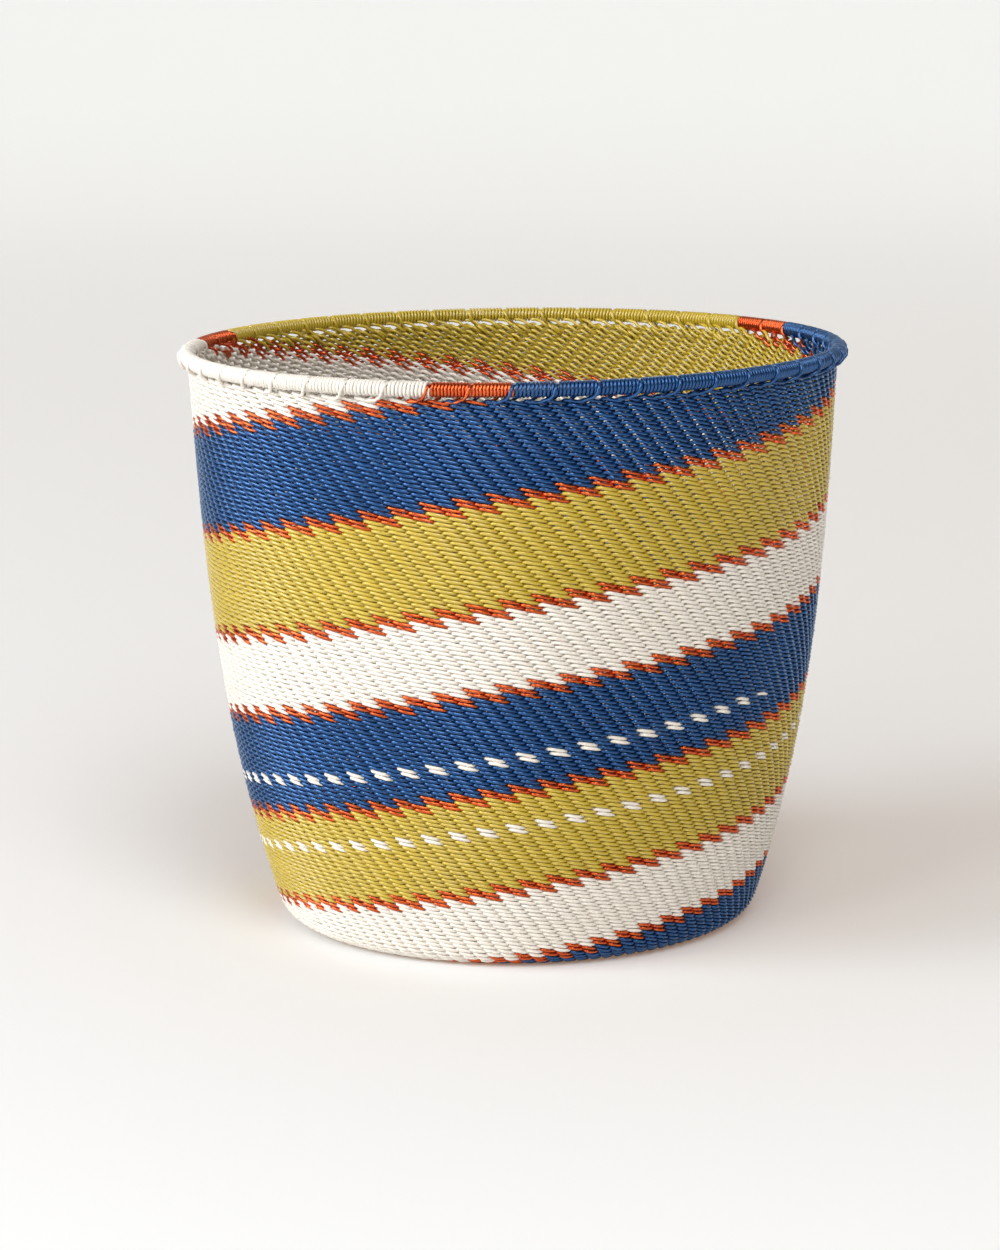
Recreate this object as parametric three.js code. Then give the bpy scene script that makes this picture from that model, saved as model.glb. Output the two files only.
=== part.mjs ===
// Round woven planter basket of plastic-covered wire on a steel rim hoop.
// Millimetres, +Z up, origin on the floor under the centre of the basket.
//
// Every strand climbs from the base to the rim in a long spiral, so all the
// strands of one colour lie side by side and make one spiral stripe of the wall.
// A few bare copper strands run between every two stripes. The strands cross in
// pairs, which gives the wall its leaning ribs and every seam its saw teeth. At the
// top the strand ends are lashed round the hoop, each colour over its own stripe.
import * as THREE from 'three';

// Rim: a steel hoop with the strand ends wound round it.
const rimRadius = 87;
const rimHeight = 153.4;
const hoopWire = 2.0;
const coveredWire = 1.0;
const copperWire = 0.85;
const lashClearance = 0.25;

// Wall and base: two crossing layers of strands.
const wallThickness = 2.2;
const baseThickness = 2.2;
const wallInset = 0.4;
const wallTaper = 8.3;
const footCurve = 14.4;
const cornerHeight = 5.0;
const weaveGap = 0.3;

// Stripes: strands of each colour, and how far they climb the wall in one turn.
const whiteStrands = 28;
const blueStrands = 36;
const oliveStrands = 36;
const seamStrands = 4;
const stripeClimb = 76.6;
const whiteBlueSeamAngle = -103.5;
const narrowestTip = 0.5;

// Weave: how far a rib winds round on its way down, how much it stands out where
// it comes up from under its neighbour, and the teeth that it cuts in a seam.
const ribTurn = 83;
const ribRelief = 0.5;
const ribFlank = 0.15;
const toothHeight = 3.0;
const toothFade = 6.0;

// Lashings: copper windings over the seams, covered wire between them. The strands
// of a seam run on round the rim, by the winding's lead, before they are wound.
const copperLoops = 14;
const copperWindingArc = 13.2;
const windingLead = 6.8;
const tailCount = 52;
const wrapsPerTail = 10;
const tailGroove = 0.3;

// Facets: stations are shared by neighbours, so their chords run side by side.
const baseStations = 40;
const tallestFacet = 18;
const closestSections = 0.05;
const stationsPerTail = 2;
const roundSides = 8;
const loopSteps = 9;
const coilSides = 5;
const cornerSteps = 4;
const profileSteps = 240;

const TURN = 2 * Math.PI;
const DEGREE = Math.PI / 180;
const ROUNDING = 1e-9;
const STRIPES = [
  { colour: 'blue', strands: blueStrands },
  { colour: 'olive', strands: oliveStrands },
  { colour: 'white', strands: whiteStrands },
];

const strandTotal = STRIPES.reduce((sum, stripe) => sum + stripe.strands + seamStrands, 0);
const pairCount = Math.round(strandTotal / 2);
const ribAngle = TURN / pairCount;
const hoopStations = tailCount * stationsPerTail;

const coveredLashRadius = hoopWire / 2 + lashClearance + coveredWire;
const copperLashRadius = hoopWire / 2 + lashClearance + copperWire;
const wallTop = rimHeight - coveredLashRadius - weaveGap;
const mouthRadius = rimRadius - wallInset;

// Finishes, one for each kind of strand and one for the steel.
function finish(colour, roughness, metalness) {
  return new THREE.MeshStandardMaterial({ color: colour, roughness, metalness });
}
const FINISHES = {
  white: finish(0xece7dc, 0.42, 0.0),
  blue: finish(0x2b5490, 0.35, 0.0),
  olive: finish(0xbfa93c, 0.38, 0.0),
  copper: finish(0xb9441f, 0.3, 0.6),
  steel: finish(0x8d9094, 0.4, 0.9),
  mixed: finish(0x9a948a, 0.45, 0.0),
};

const basket = new THREE.Group();

function addPiece(name, geometry, material) {
  const piece = new THREE.Mesh(geometry, material);
  piece.name = name;
  basket.add(piece);
  return piece;
}

// Outer radius of the wall at a height: almost upright at the mouth, drawn in
// by a straight taper and by a curve that tightens towards the foot.
function wallRadius(height) {
  const drop = 1 - height / wallTop;
  return mouthRadius - wallTaper * drop - footCurve * drop ** 3;
}

// How much the wall leans out per unit of height.
function wallLean(height) {
  const drop = 1 - height / wallTop;
  return (wallTaper + 3 * footCurve * drop ** 2) / wallTop;
}

// The wall's outer line from the rim down, measured along the slope.
function slopeTable() {
  const table = [{ along: 0, height: wallTop }];
  const step = (wallTop - cornerHeight) / profileSteps;
  for (let i = 1; i <= profileSteps; i += 1) {
    const height = wallTop - i * step;
    const previous = table[i - 1];
    const run = wallRadius(previous.height) - wallRadius(height);
    table.push({ along: previous.along + Math.hypot(run, step), height });
  }
  return table;
}
const SLOPE = slopeTable();
const wallLength = SLOPE[SLOPE.length - 1].along - weaveGap;
const ribLean = (ribTurn * DEGREE) / wallLength;
const anglePerStrand = TURN / strandTotal;
const firstSeamAngle = whiteBlueSeamAngle * DEGREE - (seamStrands / 2) * anglePerStrand;

function heightAlong(along) {
  let i = 1;
  while (i < SLOPE.length - 1 && SLOPE[i].along < along) {
    i += 1;
  }
  const above = SLOPE[i - 1];
  const below = SLOPE[i];
  const share = (along - above.along) / (below.along - above.along);
  return above.height + share * (below.height - above.height);
}

// A point of the wall: how far round, how far down the slope, how deep inside.
function wallPoint(angle, along, depth) {
  const height = heightAlong(along);
  const lean = Math.atan(wallLean(height));
  const radius = wallRadius(height) - depth * Math.cos(lean);
  const z = height + depth * Math.sin(lean);
  return new THREE.Vector3(radius * Math.cos(angle), radius * Math.sin(angle), z);
}

// Joins rings of points into one closed body. Each ring is seen anticlockwise
// from the end that the rings run towards. The side that closes a ring is cut on
// its other diagonal, so that strips lying edge to edge have the same facets there.
function loft(rings, endless = false) {
  const size = rings[0].length;
  const faces = [];
  const last = endless ? rings.length : rings.length - 1;
  for (let i = 0; i < last; i += 1) {
    const near = rings[i];
    const far = rings[(i + 1) % rings.length];
    for (let j = 0; j < size - 1; j += 1) {
      faces.push([near[j], near[j + 1], far[j + 1]], [near[j], far[j + 1], far[j]]);
    }
    faces.push([near[size - 1], near[0], far[size - 1]], [near[0], far[0], far[size - 1]]);
  }
  if (!endless) {
    faces.push(...capFaces([...rings[0]].reverse()), ...capFaces(rings[rings.length - 1]));
  }
  return bodyFrom(faces);
}

// Closes an end by pairing points across it, so that a long thin section, as
// the wall's, is cut in near squares.
function capFaces(ring) {
  const faces = [];
  for (let j = 0; j < ring.length / 2 - 1; j += 1) {
    const across = ring.length - 1 - j;
    faces.push([ring[j], ring[j + 1], ring[across - 1]], [ring[j], ring[across - 1], ring[across]]);
  }
  return faces;
}

// A body from its faces. Two rings may share a point, and a face that has one
// point twice is nothing and is left out.
function bodyFrom(faces) {
  const places = new Map();
  const index = [];
  faces.forEach((face) => {
    if (new Set(face).size === 3) {
      face.forEach((point) => {
        if (!places.has(point)) {
          places.set(point, places.size);
        }
        index.push(places.get(point));
      });
    }
  });
  const geometry = new THREE.BufferGeometry();
  geometry.setFromPoints([...places.keys()]);
  geometry.setIndex(index);
  geometry.computeVertexNormals();
  return geometry;
}

// A place on the wall is given by the rib that it lies on, as the angle at which
// the rib leaves the rim, and by how far down the slope it is.
function ribPoint(rib, along, depth) {
  return wallPoint(rib + ribLean * along, along, depth);
}

// How far across its rib a place is: 0 at the raised edge and 1 at the sunk one.
function acrossRib(rib) {
  const place = (rib - firstSeamAngle) / ribAngle;
  const share = place - Math.floor(place);
  return share < 1 - ribFlank ? share / (1 - ribFlank) : (1 - share) / ribFlank;
}

// The rib on which a seam that meets the rim at topAngle is this far down, and
// how far down it is on a rib.
const ribSlant = 1 + (ribLean * stripeClimb) / TURN;
const dropPerAngle = stripeClimb / TURN / ribSlant;
function seamRib(topAngle, along) {
  return topAngle - along / dropPerAngle;
}
function seamAlong(topAngle, rib) {
  return (topAngle - rib) * dropPerAngle;
}

// How far a tooth moves a seam down: full height on the wall, nothing at its ends.
function toothDrop(along, rib) {
  const room = Math.min(along, wallLength - along) / toothFade;
  return toothHeight * Math.min(1, Math.max(0, room)) * (acrossRib(rib) - 0.5);
}

// The raised edge of a rib. Its sunk edge is at i + 1 - ribFlank, and the flank
// climbs from there to the next rib.
function ribStart(i) {
  return firstSeamAngle + i * ribAngle;
}

// Sections of a strip: its ends and both edges of every rib. Two strips that lie edge
// to edge have the same ones along their seam, so its twisted faces match.
function sectionRibs(first, last) {
  const closest = closestSections * ribAngle;
  const edges = [];
  for (let i = Math.floor((first - firstSeamAngle) / ribAngle); ribStart(i) < last; i += 1) {
    edges.push(ribStart(i), ribStart(i + 1 - ribFlank));
  }
  return [first, ...edges.filter((rib) => rib > first + closest && rib < last - closest), last];
}

// The inside has one section for each rib, which all the sections of a flank share.
function insideRib(rib, last) {
  const place = (rib - firstSeamAngle) / ribAngle;
  const next = Math.floor(place) + 1;
  const isOnFlank = next - place < ribFlank + ROUNDING;
  return isOnFlank ? Math.min(ribStart(next), last) : rib;
}

// One stripe or seam of the wall, between two seam lines. Its upper line meets the
// rim at topAngle and runs down backwards round the basket, and both its ends are
// cut level by rim and base. Outside it has its ribs and teeth, and inside it is
// plain, with one section for each rib.
function wallStrip(topAngle, strands) {
  const bottomAngle = topAngle + strands * anglePerStrand;
  const height = strands * anglePerStrand * dropPerAngle;
  const halfGap = weaveGap / 2;
  const tip = Math.min(narrowestTip, height / 2 - halfGap);
  const first = seamRib(topAngle, wallLength - tip - halfGap);
  const last = seamRib(bottomAngle, tip + halfGap);
  const edges = (rib, tooth) => {
    const upper = seamAlong(topAngle, rib);
    const lower = seamAlong(bottomAngle, rib);
    const top = Math.max(0, upper + halfGap + tooth * toothDrop(upper, rib));
    return [top, Math.min(wallLength, lower - halfGap + tooth * toothDrop(lower, rib))];
  };
  const insidePoints = new Map();
  const inside = (rib) => {
    if (!insidePoints.has(rib)) {
      const [top, bottom] = edges(rib, 0);
      insidePoints.set(rib, [bottom, top].map((along) => ribPoint(rib, along, wallThickness)));
    }
    return insidePoints.get(rib);
  };
  const facets = Math.ceil(height / tallestFacet);
  const rings = sectionRibs(first, last).map((rib) => {
    const [top, bottom] = edges(rib, 1);
    const outside = [];
    for (let j = 0; j <= facets; j += 1) {
      const along = top + (bottom - top) * (j / facets);
      outside.push(ribPoint(rib, along, ribRelief * acrossRib(rib)));
    }
    return [...outside, ...inside(insideRib(rib, last))];
  });
  return loft(rings);
}

// Steel hoop that carries the rim.
const hoopGeometry = new THREE.TorusGeometry(rimRadius, hoopWire / 2, roundSides, hoopStations);
addPiece('rim_hoop', hoopGeometry, FINISHES.steel).position.z = rimHeight;

// Wall stripes and the copper seams above them, in order down the wall.
const seamTurn = seamStrands * anglePerStrand;
const windings = [];
let topAngle = firstSeamAngle;
let colourAbove = STRIPES[STRIPES.length - 1].colour;
STRIPES.forEach(({ colour, strands }) => {
  const seamName = `${colourAbove}_${colour}`;
  addPiece(`copper_strands_${seamName}`, wallStrip(topAngle, seamStrands), FINISHES.copper);
  const windingAngle = topAngle + seamTurn / 2 + windingLead * DEGREE;
  windings.push({ angle: windingAngle, above: colourAbove, below: colour });
  topAngle += seamTurn;
  addPiece(`${colour}_strands`, wallStrip(topAngle, strands), FINISHES[colour]);
  topAngle += strands * anglePerStrand;
  colourAbove = colour;
});

// Base: a flat woven floor that turns up into the wall round a rounded corner.
function baseProfile() {
  const lean = Math.atan(wallLean(cornerHeight));
  const sweep = Math.PI / 2 - lean;
  const cornerRadius = cornerHeight / (1 - Math.cos(sweep));
  const centre = wallRadius(cornerHeight) - cornerRadius * Math.sin(sweep);
  const innerRadius = cornerRadius - baseThickness;
  const outer = [new THREE.Vector2(0, 0)];
  const inner = [];
  for (let i = 0; i <= cornerSteps; i += 1) {
    const turn = (sweep * i) / cornerSteps;
    const out = [Math.sin(turn), 1 - Math.cos(turn)];
    outer.push(new THREE.Vector2(centre + cornerRadius * out[0], cornerRadius * out[1]));
    inner.unshift(
      new THREE.Vector2(centre + innerRadius * out[0], baseThickness + innerRadius * out[1]),
    );
  }
  return [...outer, ...inner, new THREE.Vector2(0, baseThickness)];
}
const baseGeometry = new THREE.LatheGeometry(baseProfile(), baseStations);
addPiece('base_weave', baseGeometry, FINISHES.mixed).rotation.x = Math.PI / 2;

// A point in the section of the rim: turn is 0 on the outside and rises inwards.
function rimPoint(angle, turn, distance) {
  const radius = rimRadius + distance * Math.cos(turn);
  const z = rimHeight + distance * Math.sin(turn);
  return new THREE.Vector3(radius * Math.cos(angle), radius * Math.sin(angle), z);
}

function rimRing(angle, distance) {
  const ring = [];
  for (let j = 0; j < roundSides; j += 1) {
    ring.push(rimPoint(angle, (-TURN * j) / roundSides, distance));
  }
  return ring;
}

// Covered-wire lashing: a sleeve of close wraps on the hoop, drawn in wherever a
// strand end crosses it, once in every wrapsPerTail wraps.
function lashingSleeve(startAngle, endAngle) {
  const station = TURN / hoopStations;
  const outside = [];
  const bore = [];
  const angles = [startAngle];
  for (let i = Math.ceil(startAngle / station + 0.2); i * station < endAngle - 0.2 * station; i += 1) {
    angles.push(i * station);
  }
  angles.push(endAngle);
  angles.forEach((angle, i) => {
    const groove = Math.round(angle / station) % stationsPerTail === 0 ? tailGroove : 0;
    const isEnd = i === 0 || i === angles.length - 1;
    outside.push(rimRing(angle, coveredLashRadius - (isEnd ? 0 : groove)));
    bore.unshift(rimRing(angle, hoopWire / 2 + lashClearance));
  });
  return loft([...outside, ...bore], true);
}

// Copper winding: one wire coiled round the hoop in open loops.
function coilPoint(startAngle, pitchAngle, loops) {
  const distance = hoopWire / 2 + lashClearance + copperWire / 2;
  const turn = -Math.PI / 2 + loops * TURN;
  return rimPoint(startAngle + loops * pitchAngle, turn, distance);
}

function copperWinding(startAngle, pitchAngle) {
  const rings = [];
  const steps = copperLoops * loopSteps;
  for (let i = 0; i <= steps; i += 1) {
    const loops = i / loopSteps;
    const here = coilPoint(startAngle, pitchAngle, loops);
    const before = coilPoint(startAngle, pitchAngle, loops - 0.5 / loopSteps);
    const after = coilPoint(startAngle, pitchAngle, loops + 0.5 / loopSteps);
    const along = after.sub(before).normalize();
    const angle = startAngle + loops * pitchAngle;
    const hoopCentre = new THREE.Vector3(
      rimRadius * Math.cos(angle),
      rimRadius * Math.sin(angle),
      rimHeight,
    );
    const outward = here.clone().sub(hoopCentre);
    const side = along.clone().cross(outward).normalize();
    const up = side.clone().cross(along).normalize();
    const ring = [];
    for (let j = 0; j < coilSides; j += 1) {
      const turn = (TURN * j) / coilSides;
      const spoke = up.clone().multiplyScalar(Math.cos(turn)).addScaledVector(side, Math.sin(turn));
      ring.push(here.clone().addScaledVector(spoke, copperWire / 2));
    }
    rings.push(ring);
  }
  return loft(rings);
}

// Least gap between two loops of one winding, measured on its surface points.
function leastCoilGap(startAngle, pitchAngle) {
  const fine = 36;
  let least = Infinity;
  for (let i = 0; i < fine; i += 1) {
    const here = coilPoint(startAngle, pitchAngle, i / fine);
    for (let j = Math.floor(fine / 2); j < fine * 1.5; j += 1) {
      const there = coilPoint(startAngle, pitchAngle, (i + j) / fine);
      least = Math.min(least, here.distanceTo(there) - copperWire);
    }
  }
  return least;
}

const halfArc = (copperWindingArc / 2) * DEGREE;
const endMargin = (copperWire + weaveGap) / 2 / (rimRadius - copperLashRadius);
windings.forEach(({ angle, above, below }, i) => {
  const startAngle = angle - halfArc + endMargin;
  const pitchAngle = (2 * (halfArc - endMargin)) / copperLoops;
  addPiece(`copper_lashing_${above}_${below}`, copperWinding(startAngle, pitchAngle), FINISHES.copper);
  const nextAngle = i + 1 < windings.length ? windings[i + 1].angle : windings[0].angle + TURN;
  const edge = halfArc + weaveGap / 2 / rimRadius;
  addPiece(`${below}_lashing`, lashingSleeve(angle + edge, nextAngle - edge), FINISHES[below]);
  const gap = leastCoilGap(startAngle, pitchAngle);
  console.log(`copper winding ${above} to ${below}: least gap between loops ${gap.toFixed(2)} mm`);
});
console.log(`${strandTotal} strands, about ${tailCount * wrapsPerTail} wraps round the rim`);

export default basket;
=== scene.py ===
# %% [markdown]
# # A woven wire planter basket
#
# The basket is made of about a hundred thin wires, most of them covered in coloured
# plastic and a few of bare copper. Each wire climbs from the middle of the base to the
# rim in a long spiral, passing in front of its neighbours and then behind them.
# The frame holds the plain solids of the stripes, the base and the rim. This script
# takes its sizes from that frame and weaves the real wires in their place.

import math
import random

import bmesh
import bpy
import numpy as np
from mathutils import Matrix, Vector


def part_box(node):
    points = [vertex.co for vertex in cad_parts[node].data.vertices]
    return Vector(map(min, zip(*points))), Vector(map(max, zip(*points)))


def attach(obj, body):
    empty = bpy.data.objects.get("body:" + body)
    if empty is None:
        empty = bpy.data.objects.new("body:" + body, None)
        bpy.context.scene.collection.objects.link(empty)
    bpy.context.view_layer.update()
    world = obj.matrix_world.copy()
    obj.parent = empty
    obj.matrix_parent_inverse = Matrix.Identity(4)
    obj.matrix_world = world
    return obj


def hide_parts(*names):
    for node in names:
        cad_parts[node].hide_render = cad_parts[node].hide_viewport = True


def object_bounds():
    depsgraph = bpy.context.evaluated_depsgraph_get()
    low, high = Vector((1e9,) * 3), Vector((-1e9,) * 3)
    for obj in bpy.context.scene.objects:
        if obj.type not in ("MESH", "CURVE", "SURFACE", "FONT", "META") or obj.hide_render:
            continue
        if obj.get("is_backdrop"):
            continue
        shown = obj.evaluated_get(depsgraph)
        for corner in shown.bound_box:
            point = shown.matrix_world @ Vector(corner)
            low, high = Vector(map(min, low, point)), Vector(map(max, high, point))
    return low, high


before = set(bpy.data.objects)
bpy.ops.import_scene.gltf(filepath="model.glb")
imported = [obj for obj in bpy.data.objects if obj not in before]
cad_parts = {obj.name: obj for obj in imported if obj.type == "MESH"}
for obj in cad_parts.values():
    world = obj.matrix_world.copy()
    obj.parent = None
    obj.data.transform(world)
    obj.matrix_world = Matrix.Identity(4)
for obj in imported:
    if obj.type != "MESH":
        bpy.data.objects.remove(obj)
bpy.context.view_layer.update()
MM = 0.001
DEGREE = math.pi / 180
TURN = 2 * math.pi

# %% [markdown]
# ## The camera
#
# A long lens a little above the rim keeps the sides of the basket almost parallel, and
# the mouth shows as a narrow ellipse. The camera could be aimed with a constraint, but a
# matrix built from one look-at point, one distance and one elevation is easier to read.

# %% Place the camera
PHOTO_HEIGHT = 1250
PHOTO_MIDDLE = (500, 625)
AIM_PIXEL = (515.6, 639.2)
AIM_POINT = Vector((0, 0, 73.95 * MM))
CAMERA_DISTANCE = 957 * MM
CAMERA_ELEVATION = 0.198
CAMERA_ROLL = -0.0105
FOCAL_PIXELS = 3511.8
SENSOR = 36
CLIP_NEAR = 0.05
CLIP_FAR = 50

camera_data = bpy.data.cameras.new("camera")
camera_data.sensor_width = SENSOR
camera_data.lens = FOCAL_PIXELS * SENSOR / PHOTO_HEIGHT
camera_data.shift_x = (PHOTO_MIDDLE[0] - AIM_PIXEL[0]) / PHOTO_HEIGHT
camera_data.shift_y = (AIM_PIXEL[1] - PHOTO_MIDDLE[1]) / PHOTO_HEIGHT
camera_data.clip_start = CLIP_NEAR
camera_data.clip_end = CLIP_FAR
camera = bpy.data.objects.new("camera", camera_data)
bpy.context.scene.collection.objects.link(camera)
sight = Vector((0, -math.cos(CAMERA_ELEVATION), math.sin(CAMERA_ELEVATION)))
camera.matrix_world = (
    Matrix.Translation(AIM_POINT + sight * CAMERA_DISTANCE)
    @ Matrix.Rotation(math.pi / 2 - CAMERA_ELEVATION, 4, "X")
    @ Matrix.Rotation(CAMERA_ROLL, 4, "Z")
)
bpy.context.scene.camera = camera
print("lens in mm:", round(camera_data.lens, 1))

# %% [markdown]
# ## Floor and light
#
# The basket stands on a pale sweep of paper that curves up behind it, so no horizon
# shows. The sweep is one edge that is extruded along the floor, spun round the cove and
# extruded up again. A large lamp on the left gives the gloss and the soft shadow to the
# right, a narrow one at the corner draws a bright line down each wrap of the rim, a tall
# one in front lights the inside, and a dim warm world fills the rest.
# Brighter lamps could make the paper white, but they would bleach the basket too, so the
# paper glows a little instead, more with distance, as the lamps reach it less. The camera
# sees that glow, straight or through a reflection, but the basket isn't lit by it. The
# sweep reaches far in front as well, so that a view from behind has paper all round.

# %% Sweep of paper
SWEEP_WIDTH = 9.0
SWEEP_FRONT = -8.0
SWEEP_BACK = 2.2
COVE_RADIUS = 1.2
COVE_STEPS = 24
SWEEP_TOP = 3.5


def extrude_edges(mesh, edges, move):
    """Draws edges out into faces and gives back the new edges."""
    grown = bmesh.ops.extrude_edge_only(mesh, edges=edges)["geom"]
    corners = [part for part in grown if isinstance(part, bmesh.types.BMVert)]
    bmesh.ops.translate(mesh, verts=corners, vec=move)
    return [part for part in grown if isinstance(part, bmesh.types.BMEdge)]


def paper_sweep():
    """Floor, cove and backdrop in one smooth sheet."""
    mesh = bmesh.new()
    left = mesh.verts.new((-SWEEP_WIDTH / 2, SWEEP_FRONT, 0))
    right = mesh.verts.new((SWEEP_WIDTH / 2, SWEEP_FRONT, 0))
    front = mesh.edges.new((left, right))
    back = extrude_edges(mesh, [front], Vector((0, SWEEP_BACK - SWEEP_FRONT, 0)))
    across = [edge for edge in back if abs(edge.verts[0].co.y - edge.verts[1].co.y) < MM]
    cove = bmesh.ops.spin(
        mesh,
        geom=across + list(across[0].verts),
        cent=(0, SWEEP_BACK, COVE_RADIUS),
        axis=(1, 0, 0),
        angle=math.pi / 2,
        steps=COVE_STEPS,
    )["geom_last"]
    top = [part for part in cove if isinstance(part, bmesh.types.BMEdge)]
    extrude_edges(mesh, top, Vector((0, 0, SWEEP_TOP)))
    bmesh.ops.recalc_face_normals(mesh, faces=mesh.faces)
    for face in mesh.faces:
        face.smooth = True
    return mesh


def mesh_object(name, mesh):
    """Puts a finished bmesh into the scene."""
    data = bpy.data.meshes.new(name)
    mesh.to_mesh(data)
    mesh.free()
    piece = bpy.data.objects.new(name, data)
    bpy.context.scene.collection.objects.link(piece)
    return piece


sweep = mesh_object("paper_sweep", paper_sweep())
sweep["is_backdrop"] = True
print("sweep faces:", len(sweep.data.polygons))

# %% Helpers for nodes
# A Mix node has a pair of inputs for each kind of value. These are its colour sockets.
MIX_FIRST = 6
MIX_SECOND = 7
MIX_RESULT = 2


def set_inputs(node, inputs):
    """Gives each input a plain value, or a link from another node's output."""
    for socket, source in inputs.items():
        if isinstance(source, bpy.types.NodeSocket):
            node.id_data.links.new(source, node.inputs[socket])
        else:
            node.inputs[socket].default_value = source


def add_node(tree, kind, inputs, **settings):
    """A new node with its settings and its inputs."""
    node = tree.nodes.new(kind)
    for name, value in settings.items():
        setattr(node, name, value)
    set_inputs(node, inputs)
    return node


print("colour sockets of a Mix node:", (MIX_FIRST, MIX_SECOND), "and", MIX_RESULT)

# %% Paper that looks evenly lit
PAPER_ROUGHNESS = 0.9
PAPER_GLOSS = 0.1
PAPER_COLOUR = (0.90, 0.89, 0.87, 1)
SEEN_COLOUR = (0.61, 0.70, 0.77, 1)
GLOW_NEAR = (0.16, 0.06, 0.0, 1)
GLOW_FAR = (0.655, 0.63, 0.60, 1)
GLOW_REACH = 2.7


def paper_material():
    """Plain paper for the light that falls on it, and a paler, softly glowing one for the eye."""
    paper = bpy.data.materials.new("matt_paper")
    paper.use_nodes = True
    tree = paper.node_tree
    rays = add_node(tree, "ShaderNodeLightPath", {}).outputs
    seen = rays["Is Camera Ray"]
    for name in ("Is Glossy Ray", "Is Transmission Ray"):
        either = {0: seen, 1: rays[name]}
        seen = add_node(tree, "ShaderNodeMath", either, operation="MAXIMUM").outputs[0]
    papers = {0: seen, MIX_FIRST: PAPER_COLOUR, MIX_SECOND: SEEN_COLOUR}
    colour = add_node(tree, "ShaderNodeMix", papers, data_type="RGBA")
    place = add_node(tree, "ShaderNodeTexCoord", {}).outputs["Object"]
    distance = add_node(tree, "ShaderNodeVectorMath", {0: place}, operation="LENGTH")
    span = {"Value": distance.outputs["Value"], "From Max": GLOW_REACH}
    reach = add_node(tree, "ShaderNodeMapRange", span).outputs["Result"]
    fade = add_node(tree, "ShaderNodeMath", {0: reach}, operation="SQRT").outputs[0]
    glows = {0: fade, MIX_FIRST: GLOW_NEAR, MIX_SECOND: GLOW_FAR}
    glow = add_node(tree, "ShaderNodeMix", glows, data_type="RGBA")
    look = {
        "Roughness": PAPER_ROUGHNESS,
        "Specular IOR Level": PAPER_GLOSS,
        "Base Color": colour.outputs[MIX_RESULT],
        "Emission Color": glow.outputs[MIX_RESULT],
        "Emission Strength": seen,
    }
    set_inputs(tree.nodes["Principled BSDF"], look)
    return paper


sweep.data.materials.append(paper_material())
print("glow of the paper, near and far:", GLOW_NEAR[:3], GLOW_FAR[:3])

# %% Lamps and world
# Name, place, width and height, power and colour of each lamp.
LAMPS = (
    ("key_lamp", Vector((-1.50, -0.45, 0.75)), (1.0, 1.4), 21, (1.0, 0.99, 0.98)),
    ("corner_lamp", Vector((-0.95, -1.20, 0.95)), (0.5, 1.5), 6, (1.0, 0.99, 0.98)),
    ("front_lamp", Vector((0.30, -1.20, 1.50)), (0.8, 1.5), 19, (1.0, 0.96, 0.91)),
)
WORLD_COLOUR = (1.0, 0.93, 0.85, 1)
WORLD_STRENGTH = 0.22


def add_lamp(name, place, size, power, colour):
    """A soft oval lamp that is aimed at the basket."""
    lamp_data = bpy.data.lights.new(name, "AREA")
    lamp_data.shape = "ELLIPSE"
    lamp_data.size = size[0]
    lamp_data.size_y = size[1]
    lamp_data.energy = power
    lamp_data.color = colour
    lamp = bpy.data.objects.new(name, lamp_data)
    lamp.location = place
    lamp.rotation_euler = (AIM_POINT - place).to_track_quat("-Z", "Y").to_euler()
    bpy.context.scene.collection.objects.link(lamp)


for lamp_values in LAMPS:
    add_lamp(*lamp_values)

world = bpy.data.worlds.new("soft_world")
world.use_nodes = True
world.node_tree.nodes["Background"].inputs["Color"].default_value = WORLD_COLOUR
world.node_tree.nodes["Background"].inputs["Strength"].default_value = WORLD_STRENGTH
bpy.context.scene.world = world
bpy.context.scene.view_settings.view_transform = "Standard"
print("lamps:", [lamp_values[0] for lamp_values in LAMPS])

# %% [markdown]
# ## Finishes
#
# The plastic is satin, a little uneven in tone from wire to wire, and it carries faint
# scuffs. The copper is bright and slightly stained. Both effects are the same kind of
# change, so one node group makes them: it mixes a tone that is stored on each wire with
# noise in the object's own space, and each material gives it its own values. The gleam
# on the blue wires is itself blue and strong. A clear coat alone would turn them grey, so
# their shader is partly metallic, with a bluish tint and only a thin coat.

# %% Node group for the skin of a wire
WIRE_TONE = "wire_tone"
STAIN_SCALE = 60.0
SCUFF_SCALE = 1500.0


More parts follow.
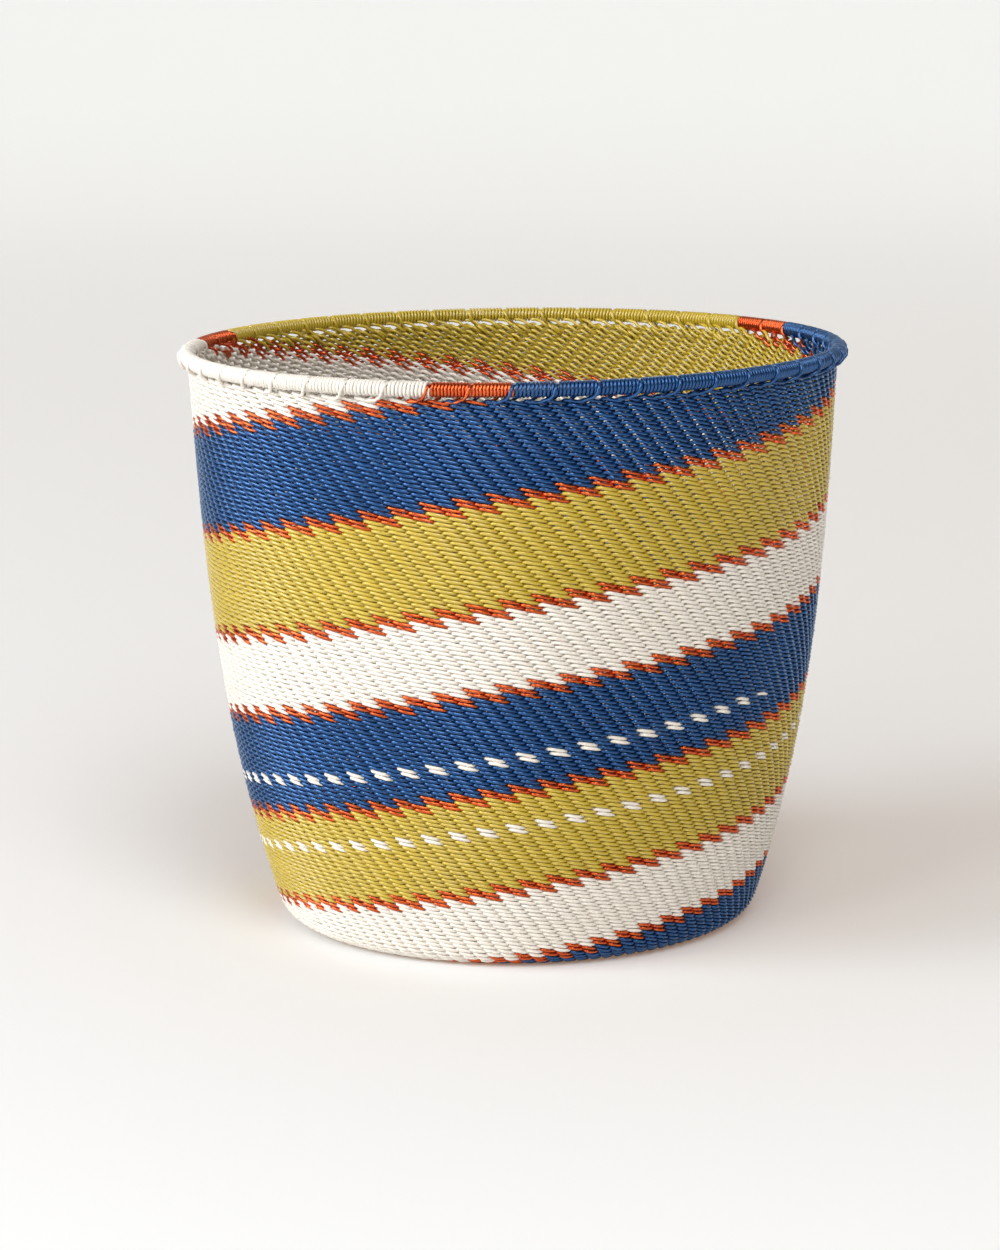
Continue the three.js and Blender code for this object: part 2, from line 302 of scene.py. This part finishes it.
def skin_group():
    """Colour, roughness and height of a wire's skin, from values that each material gives."""
    group = bpy.data.node_groups.new("wire_skin", "ShaderNodeTree")
    for name, kind, value in (
        ("Light Color", "NodeSocketColor", (0.8, 0.8, 0.8, 1)),
        ("Dark Color", "NodeSocketColor", (0.5, 0.5, 0.5, 1)),
        ("Stain Scale", "NodeSocketFloat", STAIN_SCALE),
        ("Stain", "NodeSocketFloat", 0.3),
        ("Scuff Scale", "NodeSocketFloat", SCUFF_SCALE),
        ("Roughness Low", "NodeSocketFloat", 0.3),
        ("Roughness High", "NodeSocketFloat", 0.5),
    ):
        socket = group.interface.new_socket(name=name, in_out="INPUT", socket_type=kind)
        socket.default_value = value
    for name, kind in (
        ("Color", "NodeSocketColor"),
        ("Roughness", "NodeSocketFloat"),
        ("Height", "NodeSocketFloat"),
    ):
        group.interface.new_socket(name=name, in_out="OUTPUT", socket_type=kind)
    given = add_node(group, "NodeGroupInput", {}).outputs
    place = add_node(group, "ShaderNodeTexCoord", {}).outputs["Object"]
    tone = add_node(group, "ShaderNodeAttribute", {}, attribute_name=WIRE_TONE).outputs["Fac"]
    clouds = {"Vector": place, "Scale": given["Stain Scale"]}
    stain = add_node(group, "ShaderNodeTexNoise", clouds).outputs["Fac"]
    grain = {"Vector": place, "Scale": given["Scuff Scale"]}
    scuff = add_node(group, "ShaderNodeTexNoise", grain).outputs["Fac"]
    stain_parts = {0: stain, 1: given["Stain"]}
    stained = add_node(group, "ShaderNodeMath", stain_parts, operation="MULTIPLY").outputs[0]
    share_parts = {0: stained, 1: tone}
    share = add_node(group, "ShaderNodeMath", share_parts, operation="ADD", use_clamp=True)
    colours = {
        0: share.outputs[0],
        MIX_FIRST: given["Light Color"],
        MIX_SECOND: given["Dark Color"],
    }
    colour = add_node(group, "ShaderNodeMix", colours, data_type="RGBA")
    limits = {"Value": scuff, "To Min": given["Roughness Low"], "To Max": given["Roughness High"]}
    rough = add_node(group, "ShaderNodeMapRange", limits)
    results = {
        "Color": colour.outputs[MIX_RESULT],
        "Roughness": rough.outputs["Result"],
        "Height": scuff,
    }
    add_node(group, "NodeGroupOutput", results)
    return group


WIRE_SKIN = skin_group()
print("node group:", WIRE_SKIN.name)

# %% Materials of the wires
SCUFF_DEPTH = 0.004 * MM
GLOSS = 0.8
COAT_ROUGHNESS = 0.18
COAT_IOR = 1.6


def wire_material(name, light, dark, stain, rough, metal=0.0, gleam=(1, 1, 1), coat=0.0):
    """A finish: the shared skin with its own values, and the shader's own gloss and coat."""
    material = bpy.data.materials.new(name)
    material.use_nodes = True
    tree = material.node_tree
    values = {
        "Light Color": (*light, 1),
        "Dark Color": (*dark, 1),
        "Stain": stain,
        "Roughness Low": rough[0],
        "Roughness High": rough[1],
    }
    skin = add_node(tree, "ShaderNodeGroup", values, node_tree=WIRE_SKIN).outputs
    scuffs = {"Strength": 1.0, "Distance": SCUFF_DEPTH, "Height": skin["Height"]}
    look = {
        "Base Color": skin["Color"],
        "Roughness": skin["Roughness"],
        "Normal": add_node(tree, "ShaderNodeBump", scuffs).outputs["Normal"],
        "Metallic": metal,
        "Specular IOR Level": GLOSS,
        "Specular Tint": (*gleam, 1),
        "Coat Weight": coat,
        "Coat Roughness": COAT_ROUGHNESS,
        "Coat IOR": COAT_IOR,
    }
    set_inputs(tree.nodes["Principled BSDF"], look)
    return material


WHITE = wire_material(
    "white_plastic",
    light=(0.93, 0.90, 0.85),
    dark=(0.85, 0.81, 0.74),
    stain=0.5,
    rough=(0.22, 0.32),
)
BLUE = wire_material(
    "blue_plastic",
    light=(0.016, 0.098, 0.305),
    dark=(0.007, 0.050, 0.165),
    stain=0.5,
    rough=(0.19, 0.28),
    metal=0.6,
    gleam=(0.75, 0.92, 1),
    coat=0.22,
)
OLIVE = wire_material(
    "olive_plastic",
    light=(0.640, 0.480, 0.045),
    dark=(0.500, 0.370, 0.028),
    stain=0.5,
    rough=(0.20, 0.28),
    coat=0.4,
)
COPPER = wire_material(
    "bright_copper",
    light=(0.86, 0.18, 0.055),
    dark=(0.56, 0.09, 0.028),
    stain=0.6,
    rough=(0.22, 0.34),
    metal=0.97,
)
STEEL = wire_material(
    "hoop_steel",
    light=(0.55, 0.55, 0.56),
    dark=(0.38, 0.38, 0.40),
    stain=0.6,
    rough=(0.3, 0.5),
    metal=1.0,
)
print("materials:", [material.name for material in bpy.data.materials])

# %% [markdown]
# ## The line of the wall
#
# Everything is woven on one surface: the wall, almost upright at the mouth, drawn in
# towards the foot, and turned under into the flat base round a small corner. That
# surface could be a mesh to shrink-wrap to, but a table of the profile is exact and
# quick: it gives, for any distance down from the rim, a radius, a height and the
# direction that points out of the basket.

# %% Sizes from the frame
hoop_low, hoop_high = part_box("rim_hoop")
HOOP_WIRE = hoop_high[2] - hoop_low[2]
RIM_RADIUS = (hoop_high[0] - hoop_low[0] - HOOP_WIRE) / 2
RIM_HEIGHT = (hoop_high[2] + hoop_low[2]) / 2
WALL_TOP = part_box("white_strands")[1][2]
WALL_THICKNESS = 2.2 * MM
WALL_INSET = 0.4 * MM
WALL_TAPER = 8.3 * MM
FOOT_CURVE = 14.4 * MM
CORNER_HEIGHT = 5.0 * MM
LAYER_OFFSET = 0.55 * MM
print("rim radius and height in mm:", round(RIM_RADIUS / MM, 2), round(RIM_HEIGHT / MM, 2))

# %% Profile table
PROFILE_STEP = 0.25 * MM
ABOVE_WALL = 3.0 * MM


def wall_radius(height):
    """Radius of the wall's outer face, which draws in faster towards the foot."""
    drop = 1 - height / WALL_TOP
    return RIM_RADIUS - WALL_INSET - WALL_TAPER * drop - FOOT_CURVE * max(drop, 0) ** 3


def wall_lean(height):
    """Angle between the wall and the upright."""
    drop = max(1 - height / WALL_TOP, 0)
    return math.atan((WALL_TAPER + 3 * FOOT_CURVE * drop**2) / WALL_TOP)


def profile_table():
    """Rows of distance down the middle of the wall, radius, height, and the outward direction."""
    half = WALL_THICKNESS / 2
    rows = []
    height = WALL_TOP + ABOVE_WALL
    while height > CORNER_HEIGHT:
        lean = wall_lean(height)
        out = (math.cos(lean), -math.sin(lean))
        rows.append((wall_radius(height) - half * out[0], height - half * out[1], *out))
        height -= PROFILE_STEP
    lean = wall_lean(CORNER_HEIGHT)
    corner_turn = math.pi / 2 - lean
    corner_radius = CORNER_HEIGHT / (1 - math.cos(corner_turn))
    flat_radius = wall_radius(CORNER_HEIGHT) - corner_radius * math.sin(corner_turn)
    corner_steps = round(corner_radius * corner_turn / PROFILE_STEP)
    reach = corner_radius - half
    for step in range(corner_steps + 1):
        turn = corner_turn * (1 - step / corner_steps)
        out = (math.sin(turn), -math.cos(turn))
        rows.append((flat_radius + reach * out[0], corner_radius + reach * out[1], *out))
    flat_steps = round(flat_radius / PROFILE_STEP)
    for step in range(1, flat_steps + 1):
        rows.append((flat_radius * (1 - step / flat_steps), half, 0.0, -1.0))
    table = np.array(rows)
    steps = np.hypot(np.diff(table[:, 0]), np.diff(table[:, 1]))
    along = np.concatenate([[0], np.cumsum(steps)]) - ABOVE_WALL
    return np.column_stack([along, table])


PROFILE = profile_table()


def surface_points(angle, along, outward):
    """Points of the woven surface for arrays of angle, way down from the rim and way outward."""
    radius = np.interp(along, PROFILE[:, 0], PROFILE[:, 1])
    height = np.interp(along, PROFILE[:, 0], PROFILE[:, 2])
    out_radius = np.interp(along, PROFILE[:, 0], PROFILE[:, 3])
    out_height = np.interp(along, PROFILE[:, 0], PROFILE[:, 4])
    radius = radius + out_radius * outward
    height = height + out_height * outward
    return np.column_stack([radius * np.cos(angle), radius * np.sin(angle), height])


print("length of the profile in mm:", round(PROFILE[-1, 0] / MM, 1))

# %% [markdown]
# ## The weave
#
# The wires cross in two layers. Each one comes out between two neighbours, floats to
# the right over one column, dives, and rises steeply to the right on the inside until
# it comes out again, two columns on and one row higher. Columns and rows make a
# lattice, and one short list of corners, in columns and rows, describes the whole
# weave. Every wire is a curve through copies of that list, because a curve with a
# round bevel keeps the wire's thickness true however it bends.

# %% Lattice
BUNDLE_SIZES = {
    "copper_white_blue": 4,
    "blue": 36,
    "copper_blue_olive": 4,
    "olive": 36,
    "copper_olive_white": 4,
    "white": 28,
}
STRANDS = sum(BUNDLE_SIZES.values())
COLUMN_LEAN = 0.208
ROW_PITCH = 1.226 * MM
FIRST_ROW_DROP = 0.45 * MM
LATTICE_PHASE = -114.0 * DEGREE
COVERED_WIRE = 0.99 * MM
COPPER_WIRE = 0.86 * MM

# The rows bow: they hang lower at the two sides than at the front and back.
ROW_BOW = 2.1 * MM
BOW_FADE = 28 * MM

# Columns to the right, rows down, and multiples of the layer offset, from where a wire
# comes out to just before it comes out again. It comes out steeply and sinks slowly,
# so each float bulges at its left end.
CYCLE = np.array(
    [
        (-0.04, 0.34, -0.35),
        (0.08, 0.08, 0.60),
        (0.22, -0.02, 1.55),
        (0.42, 0.16, 1.65),
        (0.70, 0.54, 1.15),
        (0.96, 0.80, 0.30),
        (1.06, 0.72, -0.70),
        (1.30, 0.32, -1.50),
        (1.72, -0.42, -1.45),
    ]
)
NEXT_START = ((1.98, -0.68, -0.30),)
INTO_RIM = ((1.92, -0.84, -0.90), (2.30, -1.16, -0.20), (2.60, -1.30, 0.10))

# How far a float reaches down, in rows, and across, in columns.
FLOAT_DROP = 1.0
FLOAT_REACH = 1 + COLUMN_LEAN * FLOAT_DROP
STEEPEST_TILT = 0.9

# The base has fewer wires towards its middle, as they are added in pairs. It is flat
# from where the outward direction points straight down, and there the basket's weight
# presses the floats against the floor.
BASE_RINGS = (31.0 * MM, 15.5 * MM, 8.0 * MM)
PROFILE_END = float(PROFILE[-1, 0])
RING_STARTS = [PROFILE_END - ring for ring in BASE_RINGS]
WALL_END = float(np.interp(-CORNER_HEIGHT, -PROFILE[:, 2], PROFILE[:, 0]))
FLAT_START = float(PROFILE[PROFILE[:, 4] <= -1][0, 0])
WALL_ROOM = 1.1 * MM
FLAT_ROOM = (WALL_THICKNESS - COVERED_WIRE) / 2


def row_pitch(along, strands):
    """Rows open up where the columns grow narrow, so that the wires lie side by side."""
    radius = float(np.interp(along, PROFILE[:, 0], PROFILE[:, 1]))
    reach = FLOAT_REACH * TURN * radius / strands
    tilt = min(FLOAT_DROP * COVERED_WIRE / reach, STEEPEST_TILT)
    return max(ROW_PITCH, COVERED_WIRE / math.sqrt(1 - tilt**2))


def make_zone(strands, start, end, phase):
    """One ring of weave with the same number of wires all the way down."""
    spare = 2
    rows = [start + row * ROW_PITCH for row in range(-spare, 1)]
    while rows[-1] < end:
        rows.append(rows[-1] + row_pitch(rows[-1], strands))
    count = len(rows) - 1 - spare
    for _ in range(spare):
        rows.append(rows[-1] + row_pitch(rows[-1], strands))
    column = TURN / strands
    return {
        "strands": strands,
        "rows": count,
        "row_numbers": np.arange(-spare, len(rows) - spare),
        "row_places": np.array(rows),
        "column": column,
        "phase": phase,
        "inner_phase": phase - column * (2 - COLUMN_LEAN) * count,
    }


WALL_ZONE = make_zone(STRANDS, FIRST_ROW_DROP, RING_STARTS[0], LATTICE_PHASE)
OUTER_BASE = make_zone(STRANDS // 2, RING_STARTS[0], RING_STARTS[1], WALL_ZONE["inner_phase"])
INNER_BASE = make_zone(STRANDS // 4, RING_STARTS[1], RING_STARTS[2], OUTER_BASE["inner_phase"])
print("rows of weave:", [zone["rows"] for zone in (WALL_ZONE, OUTER_BASE, INNER_BASE)])

# %% Path of one wire
# A weaver's hand is not quite even, so each corner wanders a little, in rows and in depth.
ROW_WANDER = 0.035
LAYER_WANDER = 0.05
wander = np.random.default_rng(11)


def row_bow(angle, along):
    """How much lower a row lies than a level one: nothing at the rim and at the foot."""
    room = np.clip(np.minimum(along, WALL_END - along) / BOW_FADE, 0, 1)
    return ROW_BOW * np.sin(angle + math.pi / 2) ** 2 * room * room * (3 - 2 * room)


def wire_path(zone, strand, first_row, last_row, ending):
    """Points of one wire from last_row up to first_row, and on through its ending."""
    rows = np.arange(last_row, first_row - 1, -1)
    across = strand - 2 * rows[:, None] + CYCLE[None, :, 0]
    down = rows[:, None] + CYCLE[None, :, 1]
    down = down + wander.normal(0, ROW_WANDER, down.shape)
    layer = CYCLE[None, :, 2] * (1 + wander.normal(0, LAYER_WANDER, down.shape))
    end = np.array(ending)
    across = np.concatenate([across.ravel(), strand - 2 * first_row + end[:, 0]])
    down = np.concatenate([down.ravel(), first_row + end[:, 1]])
    layer = np.concatenate([layer.ravel(), end[:, 2]])
    angle = zone["phase"] + zone["column"] * (across + COLUMN_LEAN * down)
    along = np.interp(down, zone["row_numbers"], zone["row_places"])
    room = np.interp(along, (WALL_END, FLAT_START), (WALL_ROOM, FLAT_ROOM))
    outward = np.minimum(layer * LAYER_OFFSET, room)
    return surface_points(angle, along + row_bow(angle, along), outward)


sample = wire_path(WALL_ZONE, 0, 0, WALL_ZONE["rows"], INTO_RIM)
sample_length = np.linalg.norm(np.diff(sample, axis=0), axis=1).sum()
print("one wire of the wall is", round(sample_length, 2), "m long")

# %% [markdown]
# ## Round wires
#
# A wire could be a skinned chain of edges, but a curve with a round bevel needs only its
# thickness. Many wires share one curve, which becomes one mesh, as that is far quicker
# than a mesh for each. Plastic wire comes in batches that differ a little, so every wire
# stores a tone of its own on its points, and the finish reads it.

# %% From paths to a mesh of round wires
# A curve whose bevel resolution is r has 2 * (r + 2) sides.
WIRE_SIDES = 6
TONE_SPREAD = 0.35
JOIN_DISTANCE = 0.0001 * MM
tones = random.Random(5)


def wire_mesh(name, paths, thickness):
    """Round wires through lists of points, as one mesh with a tone stored for each wire."""
    curve = bpy.data.curves.new(name + "_curve", "CURVE")
    curve.dimensions = "3D"
    curve.bevel_depth = thickness / 2
    curve.bevel_resolution = WIRE_SIDES // 2 - 2
    curve.use_fill_caps = True
    for path in paths:
        spline = curve.splines.new("POLY")
        spline.points.add(len(path) - 1)
        spline.points.foreach_set("co", np.column_stack([path, np.ones(len(path))]).ravel())
    guide = bpy.data.objects.new(name + "_curve", curve)
    bpy.context.scene.collection.objects.link(guide)
    bpy.context.view_layer.update()
    solid = guide.evaluated_get(bpy.context.evaluated_depsgraph_get())
    data = bpy.data.meshes.new_from_object(solid)
    data.name = name
    bpy.data.objects.remove(guide)
    bpy.data.curves.remove(curve)
    shades = [tones.uniform(0, TONE_SPREAD) for _ in paths]
    counts = [len(path) * WIRE_SIDES for path in paths]
    # The mesh lists the points of the flat ends first, those of the last wire leading.
    end_shades = np.repeat(shades[::-1], 2 * WIRE_SIDES)
    tone = data.attributes.new(WIRE_TONE, "FLOAT", "POINT")
    tone.data.foreach_set("value", np.concatenate([end_shades, np.repeat(shades, counts)]))
    joined = bmesh.new()
    joined.from_mesh(data)
    bmesh.ops.remove_doubles(joined, verts=joined.verts, dist=JOIN_DISTANCE)
    joined.to_mesh(data)
    joined.free()
    return data


def add_wires(name, paths, thickness, material, node):
    """Makes the piece, gives it its finish and hides the solid of the frame that it stands for."""
    data = wire_mesh(name, paths, thickness)
    data.materials.clear()
    data.materials.append(material)
    piece = bpy.data.objects.new(name, data)
    bpy.context.scene.collection.objects.link(piece)
    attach(piece, "root")
    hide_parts(node)
    triangles = sum(len(face.vertices) - 2 for face in data.polygons)
    print(name, len(paths), "wires,", triangles, "triangles")


# %% [markdown]
# ## The stripes
#
# Going round the rim there are four copper wires, thirty-six blue, four copper,
# thirty-six olive, four copper and twenty-eight white. Each keeps its place in line all
# the way down, and that alone makes the spiral stripes with their saw-toothed seams.
# Stripes could also be painted on wires of one colour, but then every tooth would have
# to be drawn by hand. Low on the wall two white wires take over from two in the blue and
# two in the olive, and show as lines of dashes.

# %% Kinds of wire and their places in line
DASH_TOP_ROW = 66
BLUE_DASHES = (28, 30)
OLIVE_DASHES = (56, 58)
WIRE_KINDS = {
    "copper": (COPPER_WIRE, COPPER, "copper_wire"),
    "blue": (COVERED_WIRE, BLUE, "blue_wire"),
    "olive": (COVERED_WIRE, OLIVE, "olive_wire"),
    "white": (COVERED_WIRE, WHITE, "white_wire"),
}
MOST_WIRES_IN_A_PIECE = 12
BUNDLES = {}
first_place = 0
for bundle, size in BUNDLE_SIZES.items():
    BUNDLES[bundle] = (range(first_place, first_place + size), *WIRE_KINDS[bundle.split("_")[0]])
    first_place += size
print("places in line:", {bundle: values[0] for bundle, values in BUNDLES.items()})

# %% Bundles of wires
def place_in_line(strand):
    """Every other strand changes colour one tooth later, which gives the seams their steps."""
    return strand if strand % 2 == 0 else (strand - 2) % STRANDS


for bundle, (places, thickness, material, slot) in BUNDLES.items():
    node = f"{bundle}_strands"
    if material is COPPER:
        node = bundle.replace("copper", "copper_strands")
    wires = [strand for strand in range(STRANDS) if place_in_line(strand) in places]
    pieces = math.ceil(len(wires) / MOST_WIRES_IN_A_PIECE)
    for part in range(pieces):
        first_wire = part * len(wires) // pieces
        end_wire = (part + 1) * len(wires) // pieces
        paths = []
        for strand in wires[first_wire:end_wire]:
            cut_short = strand in BLUE_DASHES + OLIVE_DASHES
            last_row = DASH_TOP_ROW - 1 if cut_short else WALL_ZONE["rows"]
            paths.append(wire_path(WALL_ZONE, strand, 0, last_row, INTO_RIM))
        name = f"{bundle}_wires_{part + 1}" if pieces > 1 else f"{bundle}_wires"
        add_wires(name, paths, thickness, material, node)

# %% White dashes in the blue and the olive stripe
for stripe, numbers in (("blue", BLUE_DASHES), ("olive", OLIVE_DASHES)):
    paths = [
        wire_path(WALL_ZONE, strand, DASH_TOP_ROW, WALL_ZONE["rows"], NEXT_START)
        for strand in numbers
    ]
    name = f"white_dashes_in_{stripe}"
    add_wires(name, paths, COVERED_WIRE, WHITE, f"{stripe}_strands")

# %% [markdown]
# ## The middle of the base
#
# Nobody sees the underside in use, but the basket is built from there: a flat coil of
# one wire, then rings of weave with more wires in each, in the same order of colours,
# so the stripes start as a pinwheel. A plain disc would do for the render, but the same
# function that weaves the wall also weaves the rings, with fewer wires.

# %% Inner rings of the base
for bundle, (places, thickness, material, slot) in BUNDLES.items():
    paths = []
    for zone in (OUTER_BASE, INNER_BASE):
        step = STRANDS // zone["strands"]
        for strand in range(zone["strands"]):
            if strand * step in places:
                paths.append(wire_path(zone, strand, 0, zone["rows"], NEXT_START))
    add_wires(f"base_{bundle}_wires", paths, thickness, material, "base_weave")

# %% Coil at the centre
COIL_STEPS = 24
COIL_START = 0.4


def centre_coil():
    """A flat spiral whose turns lie one wire apart."""
    loops = BASE_RINGS[-1] / COVERED_WIRE
    turns = np.arange(COIL_START, loops, 1 / COIL_STEPS)
    radius = turns * COVERED_WIRE
    angle = turns * TURN
    height = np.full(len(turns), WALL_THICKNESS / 2)
    return np.column_stack([radius * np.cos(angle), radius * np.sin(angle), height])


add_wires("base_centre_coil", [centre_coil()], COVERED_WIRE, WHITE, "base_weave")

# %% [markdown]
# ## The rim
#
# The steel hoop is wound all round with wire, about ten wraps at a time. Each group of
# wraps begins with a strand that leaves the wall, sweeps over the last wraps of the group
# before it and takes its place beside them; where it crosses, a small three-cornered gap
# is left below. Inside, another strand does the same. An array of small rings could stand
# for the wraps, but they would look cut apart, so each wound wire is one helix on the
# hoop, and its first points are the sweep. Wound wire is drawn a little thinner than
# woven wire, which leaves a line of shadow between the wraps.

# %% Points round the hoop
WOUND_WIRE = 0.90 * MM
WRAP_CLEARANCE = 0.15 * MM
COVERED_COIL = HOOP_WIRE / 2 + WRAP_CLEARANCE + COVERED_WIRE / 2
COPPER_COIL = HOOP_WIRE / 2 + WRAP_CLEARANCE + COPPER_WIRE / 2


def rim_points(angle, around, distance):
    """Points round the hoop: around is 0 outside, a quarter turn on top and half a turn inside."""
    radius = RIM_RADIUS + distance * np.cos(around)
    height = RIM_HEIGHT + distance * np.sin(around)
    return np.column_stack([radius * np.cos(angle), radius * np.sin(angle), height])


# %% Sweep of a strand on to the hoop
# On the wall: distance back along the rim, down the wall and out of it, all in mm.
# On the hoop: distance back in mm, quarter turns round the hoop, extra distance in mm.
OUTSIDE_WALL = ((7.6, 1.6, -0.5), (6.4, 0.9, 0.5), (5.0, 0.8, 0.9), (3.7, 0.75, 1.05))
OUTSIDE_SWEEP = (
    (2.6, -0.86, 0.98),
    (1.75, -0.66, 0.95),
    (1.05, -0.34, 0.85),
    (0.55, 0.02, 0.62),
    (0.22, 0.38, 0.28),
)
INSIDE_WALL = ((6.6, 3.4, -0.3), (5.4, 2.6, -1.2), (4.2, 1.7, -1.45), (3.2, 0.9, -1.5))
INSIDE_SWEEP = (
    (2.2, 2.80, 1.00),
    (1.5, 2.55, 0.95),
    (0.9, 2.25, 0.80),
    (0.45, 1.85, 0.45),
    (0.2, 1.5, 0.0),
)


def sweep_points(start, wall, sweep_list, coil):
    """The part of a strand that leaves the wall and climbs on to the hoop."""
    wall = np.array(wall) * MM
    on_wall = surface_points(start - wall[:, 0] / RIM_RADIUS, wall[:, 1], wall[:, 2])
    sweep_list = np.array(sweep_list)
    back = sweep_list[:, 0] * MM / RIM_RADIUS
    around = sweep_list[:, 1] * math.pi / 2
    on_rim = rim_points(start - back, around, coil + sweep_list[:, 2] * MM)
    return np.concatenate([on_wall, on_rim])


print("sweep points on the wall and on the hoop:", len(OUTSIDE_WALL), len(OUTSIDE_SWEEP))

# %% Helix of the wraps
# In turns: where the helix begins, how far round the hoop it is at zero, and how much of
# the last wrap is left out for the next group's strand.
WRAP_STEPS = 16
FIRST_TURN = 0.17
TURN_LEAD = 0.2
LAST_WRAP_GAP = 0.16


def wrap_points(start, pitch, wraps, coil):
    """A helix round the hoop that carries on from the sweep."""
    turns = np.arange(FIRST_TURN, wraps + 0.5 / WRAP_STEPS, 1 / WRAP_STEPS)
    return rim_points(start + turns * pitch, TURN * (turns + TURN_LEAD), coil)


print("points in a wrap:", WRAP_STEPS)

# %% Lashings round the rim
# Colour, where the section starts, how many groups of wraps it has and the wraps in each.
LASHINGS = (
    ("copper", -103.4, 2, 12),
    ("blue", -89.9, 17, 11),
    ("copper", 28.1, 2, 12),
    ("olive", 41.9, 16, 11),
    ("copper", 155.5, 2, 12),
    ("white", 170.0, 12, 11),
)
LASHING_SEAMS = ("white_blue", "blue_olive", "olive_white")
FINISH_OF = {
    "white": (WOUND_WIRE, COVERED_COIL, WHITE),
    "blue": (WOUND_WIRE, COVERED_COIL, BLUE),
    "olive": (WOUND_WIRE, COVERED_COIL, OLIVE),
    "copper": (COPPER_WIRE, COPPER_COIL, COPPER),
}
seams = iter(LASHING_SEAMS)
for number, (colour, start, groups, wraps) in enumerate(LASHINGS):
    end = LASHINGS[number + 1][1] if number + 1 < len(LASHINGS) else LASHINGS[0][1] + 360
    group_angle = (end - start) * DEGREE / groups
    thickness, coil, material = FINISH_OF[colour]
    paths = []
    for group in range(groups):
        first = start * DEGREE + group * group_angle
        pitch = group_angle / wraps
        outside = sweep_points(first, OUTSIDE_WALL, OUTSIDE_SWEEP, coil)
        wound = wrap_points(first, pitch, wraps - LAST_WRAP_GAP, coil)
        paths.append(np.concatenate([outside, wound]))
        paths.append(sweep_points(first, INSIDE_WALL, INSIDE_SWEEP, coil))
    node = f"{colour}_lashing"
    if material is COPPER:
        node = f"{colour}_lashing_{next(seams)}"
    name = node.replace("lashing", "rim_wraps")
    add_wires(name, paths, thickness, material, node)

# %% [markdown]
# ## The hoop
#
# The hoop is a plain ring of steel wire, and the wraps hide nearly all of it. A torus
# would do, but the frame's own solid already has the shape and the place, so it stays
# and only gets its finish.

# %% Steel hoop
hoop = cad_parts["rim_hoop"]
hoop.data.materials.clear()
hoop.data.materials.append(STEEL)
print("hoop keeps its solid, with the steel finish")

# %% [markdown]
# ## A last look at the size
#
# The wires should fill the solids that they replace and pass them only by a hair. The box of the
# finished basket is printed.

# %% Size of the finished basket
visual_bounds = [list(corner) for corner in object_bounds()]
for corner in visual_bounds:
    print("corner of the finished box in mm:", [round(value / MM, 1) for value in corner])
